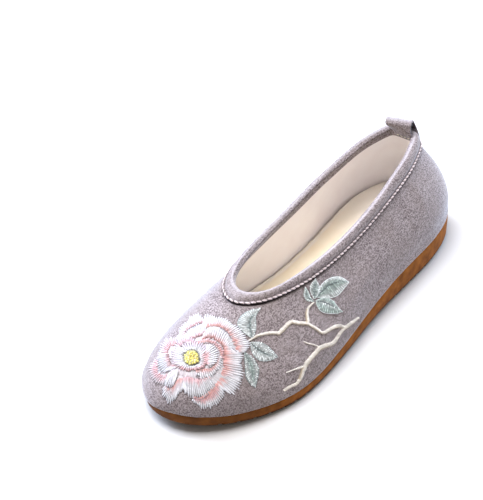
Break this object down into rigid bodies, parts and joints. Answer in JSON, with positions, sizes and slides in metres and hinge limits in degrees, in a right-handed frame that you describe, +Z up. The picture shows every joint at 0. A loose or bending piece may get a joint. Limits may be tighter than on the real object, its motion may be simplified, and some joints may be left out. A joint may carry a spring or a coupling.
{
  "type": "flat slip-on shoe",
  "caption": "Women's slip-on cloth flat for the left foot: hollow round-toed upper with bound top line and heel pull loop on a low wedge rubber sole with cross lugs.",
  "frame": {"origin": "on the floor under the middle of the shoe's bounding box, with the shoe standing on its lugs", "axes": "+Z up, toe towards -Y, heel towards +Y, +X to the outer side of the left foot"},
  "size_m": [0.082, 0.2436, 0.0781],
  "materials": {
    "gum_rubber": "matt moulded gum rubber",
    "insole_cloth": "soft cream cloth",
    "slub_linen": "matt lilac-grey slub weave",
    "binding_linen": "matt lilac-grey slub weave, folded",
    "loop_linen": "matt lilac-grey slub weave, doubled"
  },
  "bodies": {
    "root": {"outsole": "gum_rubber", "insole": "insole_cloth", "upper": "slub_linen", "topline_binding": "binding_linen", "pull_loop": "loop_linen"}
  },
  "joints": []
}
